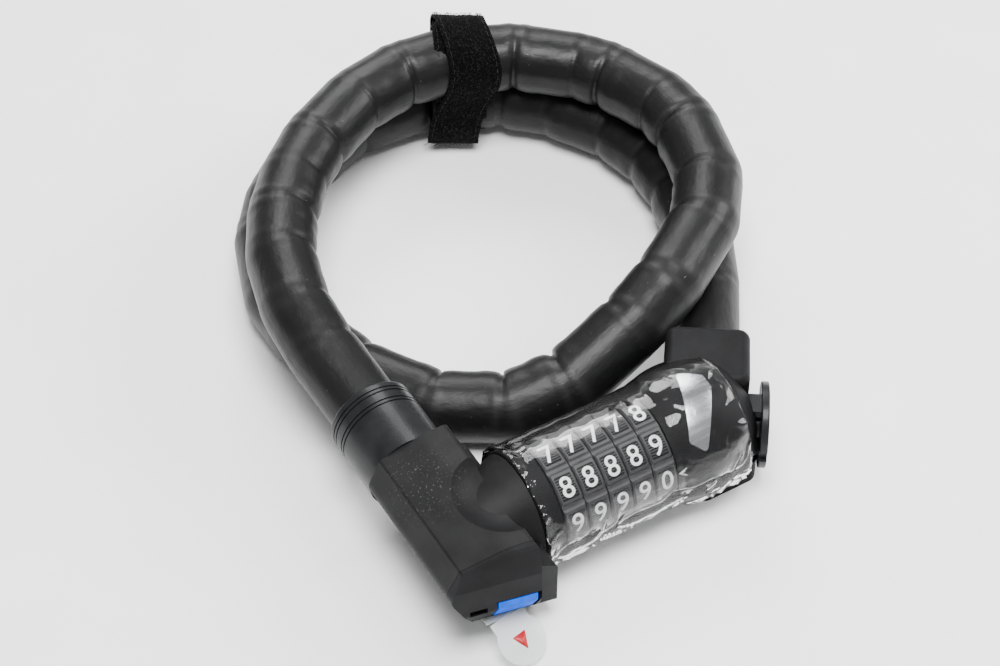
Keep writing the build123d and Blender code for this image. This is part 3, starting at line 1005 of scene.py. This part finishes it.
    def threads(
        self, name: str, shelf: FinishShelf, lines: Iterable[tuple[list[Vector], float]]
    ) -> bpy.types.Object:
        """Makes thin threads along many short lines, as one mesh.

        Args:
            name: The piece's name.
            shelf: Where finishes come from.
            lines: The points of each thread in metres and its radius in mm.

        Returns:
            The piece.
        """
        data = bpy.data.curves.new(name, "CURVE")
        data.dimensions = "3D"
        data.bevel_depth = MM
        data.bevel_resolution = 0
        data.resolution_u = 2
        data.use_fill_caps = True
        for points, radius in lines:
            spline = data.splines.new("POLY")
            spline.points.add(len(points) - 1)
            for control, point in zip(spline.points, points):
                control.co = (*point, 1.0)
                control.radius = radius
        obj = finish_piece(solid_of(data), name, Body.LOCK, Slot.STRAP)
        return shelf.dress(obj, STRAP_THREAD)


# ---- Number rings -----------------------------------------------------------------------


@dataclass
class FigureBand:
    """The figures and their panels on one number ring."""

    index: int
    radius: float = 18.3
    pitch: float = 7.6
    height: float = 6.2
    panel_width: float = 5.6
    panel_height: float = 7.4
    near_figure: int = 8  # the figure in the second row above the near side
    near_turn: float = 54.0
    stroke: float = 0.006
    print_lift: float = 0.11  # the figures stand this far off the ring

    @property
    def x(self) -> float:
        """The ring's middle along the barrel in mm."""
        return (self.index - 3) * self.pitch

    def turn(self, figure: int) -> float:
        """The angle of a figure up from the near side, in radians."""
        ahead = self.near_figure + (1 if self.index == 5 else 0)
        return math.radians(self.near_turn - 36 * (figure - ahead))

    def wrap(self, made: bmesh.types.BMesh, turn: float, lift: float) -> None:
        """Bends a flat shape onto the ring.

        Args:
            made: A shape in mm, x along the barrel, y up the ring and z outward.
            turn: The angle that its middle goes to.
            lift: How far its z of 0 stands off the ring, in mm.
        """
        for point in made.verts:
            x, y, z = point.co
            point.co = around_barrel(self.x + x, turn + y / self.radius, self.radius + lift + z)

    def panel(self) -> bmesh.types.BMesh:
        """A thin rounded panel, flat, in mm."""
        made = bmesh.new()
        bmesh.ops.create_grid(made, x_segments=2, y_segments=10, size=0.5)
        bmesh.ops.scale(made, vec=(self.panel_width, self.panel_height, 1), verts=made.verts)
        corners = [v for v in made.verts if len(v.link_edges) == 2]
        bmesh.ops.bevel(
            made, geom=corners, offset=0.6, segments=4, profile=0.5, affect="VERTICES", material=-1
        )
        bmesh.ops.solidify(made, geom=made.faces, thickness=0.08)
        bmesh.ops.recalc_face_normals(made, faces=made.faces)
        return made

    def figure(self, digit: int) -> bmesh.types.BMesh:
        """One figure as a thin flat solid, in mm."""
        data = bpy.data.curves.new("figure", "FONT")
        data.body = str(digit % 10)
        data.align_x = "CENTER"
        data.align_y = "CENTER"
        data.extrude = 0.01
        data.offset = self.stroke
        made = solid_of(data)
        low = min(v.co.y for v in made.verts)
        high = max(v.co.y for v in made.verts)
        mid_x = (min(v.co.x for v in made.verts) + max(v.co.x for v in made.verts)) / 2
        scale = self.height / (high - low)
        bmesh.ops.translate(made, vec=(-mid_x, -(low + high) / 2, 0), verts=made.verts)
        bmesh.ops.scale(made, vec=(scale * 0.98, scale, 3.0), verts=made.verts)
        bmesh.ops.remove_doubles(made, verts=made.verts, dist=1e-4)
        rows = 8
        for k in range(1, rows):
            height = self.height * (k / rows - 0.5)
            everything = made.verts[:] + made.edges[:] + made.faces[:]
            cut = (0, height, 0)
            bmesh.ops.bisect_plane(made, geom=everything, plane_co=cut, plane_no=(0, 1, 0))
        return made

    def build(self, shelf: FinishShelf) -> None:
        """Makes the ring's ten panels and ten figures.

        Args:
            shelf: Where finishes come from.
        """
        panels, figures = bmesh.new(), bmesh.new()
        for digit in range(1, 11):
            flat = ((panels, self.panel(), 0.0), (figures, self.figure(digit), self.print_lift))
            for target, shape, lift in flat:
                self.wrap(shape, self.turn(digit), lift)
                mesh = bpy.data.meshes.new("part")
                shape.to_mesh(mesh)
                shape.free()
                target.from_mesh(mesh)
                bpy.data.meshes.remove(mesh)
        for made, name, finish in ((panels, "panels", DARK_PANEL), (figures, "figures", FIGURE_INK)):
            obj = finish_piece(made, f"ring_{self.index}_{name}", None, Slot.RING)
            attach(obj, f"ring_{self.index}")
            for face in obj.data.polygons:
                face.use_smooth = False
            shelf.dress(obj, finish)


# ---- Heads ------------------------------------------------------------------------------


@dataclass
class HeadMarks:
    """The index arrow on the fixed head and the print on the battery strip."""

    arrow_x: float = 21.6
    arrow_turn: float = 18.0
    arrow_size: float = 2.3
    print_size: float = 3.4

    @staticmethod
    def head_radius(x: float) -> float:
        """The fixed head's radius in mm at a place along the barrel."""
        if x < 33:
            return 20.2 - 2.4 * ((33 - x) / 13.7) ** 2
        return 20.2 - 2.8 * ((x - 33) / 13) ** 2

    def triangle(self, size: float) -> bmesh.types.BMesh:
        """A thin rounded triangle that points along -x, flat, in mm."""
        made = bmesh.new()
        bmesh.ops.create_circle(made, cap_ends=True, segments=3, radius=size)
        bmesh.ops.rotate(
            made, verts=made.verts, cent=(0, 0, 0), matrix=Matrix.Rotation(math.radians(90), 3, "Z")
        )
        bmesh.ops.bevel(
            made, geom=made.verts[:], offset=0.25, segments=3, profile=0.5, affect="VERTICES",
            material=-1,
        )
        for k in range(-3, 4):
            everything = made.verts[:] + made.edges[:] + made.faces[:]
            cut = (0, k * size / 4, 0)
            bmesh.ops.bisect_plane(made, geom=everything, plane_co=cut, plane_no=(0, 1, 0))
        bmesh.ops.solidify(made, geom=made.faces, thickness=0.06)
        bmesh.ops.recalc_face_normals(made, faces=made.faces)
        return made

    def build(self, shelf: FinishShelf) -> None:
        """Makes both prints.

        Args:
            shelf: Where finishes come from.
        """
        arrow = self.triangle(self.arrow_size)
        for point in arrow.verts:
            x = self.arrow_x + point.co.x
            radius = self.head_radius(x)
            turn = math.radians(self.arrow_turn) + point.co.y / radius
            point.co = around_barrel(x, turn, radius + 0.07 + point.co.z)
        shelf.dress(finish_piece(arrow, "index_arrow", Body.LOCK, Slot.RING), FIGURE_INK)
        mark = self.triangle(self.print_size)
        right = Vector((0.979, 0.203, 0)).normalized()
        out = Vector((0.115, -0.554, 0.824)).normalized()
        right = (right - out * right.dot(out)).normalized()
        up = out.cross(right)
        centre = at(-44.0, -25.4, 11.1) - up * 8.0 * MM
        for point in mark.verts:
            x, y, z = point.co
            point.co = centre + (right * y * 0.8 + up * x + out * (z + 0.06)) * MM
        shelf.dress(finish_piece(mark, "strip_print", Body.TAB, Slot.TAB), TAB_INK)


# ---- Film -------------------------------------------------------------------------------


@dataclass
class ShrinkFilm:
    """The clear film shrunk over the collar, the rings and the fixed head."""

    x0: float = -26.6
    x1: float = 44.0
    stand_off: float = 0.75
    thickness: float = 0.08
    floor: float = 1.3
    ring_radius: float = 18.3
    ring_pitch: float = 7.6
    ring_edge: float = 19.0  # where the rings' stack ends, on both sides of its middle
    ring_dip: float = 0.12  # how far it sinks between two rings
    peak_at: tuple[float, float] = (11.5, 1.72)  # one sharp fold: along the barrel, angle round it

    def radius(self, x: float, turn: float) -> float:
        """The film's distance from the barrel's axis in mm.

        Args:
            x: Place along the barrel in mm.
            turn: Angle round it in radians.

        Returns:
            The radius with its folds.
        """
        wave = math.cos(2 * math.pi * (x + self.ring_edge) / self.ring_pitch)
        base = self.ring_radius + self.stand_off - self.ring_dip * (0.5 - 0.5 * wave)
        if x > self.ring_edge:
            base = max(base, HeadMarks.head_radius(x) + self.stand_off - 0.1)
        c, s = math.cos(turn), math.sin(turn)
        swirl = noise.noise(Vector((x / 12, 1.6 * c, 1.6 * s))) * 1.4
        fold = 1 - abs(noise.noise(Vector((x / 9 + swirl, 3.2 * c, 3.2 * s))))
        fine = 1 - abs(noise.noise(Vector((x / 3.5, 7 * c + swirl, 7 * s))))
        low = smooth(0.2, -0.9, s)
        calm = 1 - 0.75 * smooth(0.35, 0.6, s) * smooth(-20, -17, x) * smooth(20, 17, x)
        edge = smooth(self.x0 + 5, self.x0, x) + smooth(self.x1 - 6, self.x1, x)
        lift = (0.22 + 0.9 * low + 0.7 * edge) * fold**12 + 0.07 * (0.3 + low + edge) * fine**6
        flare = edge * (0.35 + 0.5 * noise.noise(Vector((3.0, 2.5 * c, 2.5 * s))) + 0.7 * low)
        peak_x, peak_turn = self.peak_at
        peak = 3.2 * math.exp(-((x - peak_x) / 2.2) ** 2)
        peak *= math.exp(-(((turn - peak_turn) / 0.085) ** 2))
        return base + lift * calm + max(0.0, flare) + peak

    def place(self, u: float, v: float) -> Vector:
        """A point of the film for shares round and along the barrel."""
        turn = 2 * math.pi * u
        ragged = 0.5 * noise.noise(Vector((1.0, 3 * math.cos(turn), 3 * math.sin(turn))))
        x = self.x0 + 0.4 + ragged * smooth(0.1, 0.0, v) + (self.x1 - self.x0 - 0.4) * v
        point = around_barrel(x, turn, self.radius(x, turn))
        point.z = max(point.z, self.floor * MM)
        return point

    def build(self, shelf: FinishShelf) -> None:
        """Makes the film as a thin closed skin.

        Args:
            shelf: Where finishes come from.
        """
        size = (2 * math.pi * 19 * MM, (self.x1 - self.x0) * MM)
        made = shaped_grid(220, 130, self.place, size, wrap=True)
        obj = finish_piece(made, "film_skin", Body.LOCK, Slot.FILM)
        wall = obj.modifiers.new("wall", "SOLIDIFY")
        wall.thickness = self.thickness * MM
        wall.offset = 1.0
        shelf.dress(obj, SHRINK_FILM)
        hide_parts("shrink_film")


# ---- Studio -----------------------------------------------------------------------------


@dataclass
class Studio:
    """The pale floor, the soft lights and the camera."""

    camera_at: Place = (-0.31003, -0.40062, 0.61707)
    right: Place = (0.8607, -0.5090, 0.0)
    up: Place = (0.3783, 0.6396, 0.6691)
    back: Place = (-0.3406, -0.5760, 0.7431)
    lens: float = 93.6
    middle: Place = (-0.02, 0.07, 0.02)

    def light(self, name: str, place: Place, size: float, power: float) -> None:
        """Adds a soft square light that faces the object.

        Args:
            name: The light's name.
            place: Where it stands, in metres.
            size: Its side in metres.
            power: Its power in watts.
        """
        data = bpy.data.lights.new(name, "AREA")
        data.shape = "SQUARE"
        data.size = size
        data.energy = power
        obj = bpy.data.objects.new(name, data)
        aim = Vector(self.middle) - Vector(place)
        turned = aim.to_track_quat("-Z", "Y").to_matrix().to_4x4()
        obj.matrix_world = Matrix.Translation(place) @ turned
        bpy.context.scene.collection.objects.link(obj)

    def build(self) -> None:
        """Makes the floor, lights, background and camera."""
        made = bmesh.new()
        bmesh.ops.create_grid(made, x_segments=8, y_segments=8, size=3.0)
        mesh = bpy.data.meshes.new("floor")
        made.to_mesh(mesh)
        made.free()
        floor = bpy.data.objects.new("floor", mesh)
        bpy.context.scene.collection.objects.link(floor)
        paper = Finish(
            "seamless_paper", "#fafafa", "#ffffff", 40.0, 1.0, 0.005, (0.85, 0.95)
        )
        mesh.materials.append(paper.build())
        world = bpy.data.worlds.new("studio")
        world.use_nodes = True
        world.node_tree.nodes["Background"].inputs[0].default_value = (1.0, 1.0, 1.0, 1.0)
        world.node_tree.nodes["Background"].inputs[1].default_value = 0.5
        bpy.context.scene.world = world
        self.light("key_light", (-0.16, -0.2, 1.15), 0.5, 27.0)
        self.light("side_light", (0.95, -0.15, 0.7), 0.5, 14.0)
        self.light("back_light", (0.35, 0.95, 0.9), 0.6, 14.0)
        data = bpy.data.cameras.new("camera")
        data.lens = self.lens
        data.sensor_width = 36.0
        data.clip_start = 0.01
        camera = bpy.data.objects.new("camera", data)
        axes = Matrix((self.right, self.up, self.back)).transposed().to_4x4()
        camera.matrix_world = Matrix.Translation(self.camera_at) @ axes
        bpy.context.scene.collection.objects.link(camera)
        bpy.context.scene.camera = camera
        LOG.info("studio ready")


def main() -> None:
    """Loads the frame, dresses it and adds every new piece."""
    logging.basicConfig(level=logging.INFO, format="%(name)s: %(message)s")
    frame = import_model()
    shelf = FinishShelf()
    Studio().build()
    ArmouredCable().build(shelf)
    shelf.dress_nodes(frame["nodes"])
    StrapTie().build(shelf)
    for index in range(1, 6):
        FigureBand(index).build(shelf)
    HeadMarks().build(shelf)
    ShrinkFilm().build(shelf)


if __name__ == "__main__":
    main()
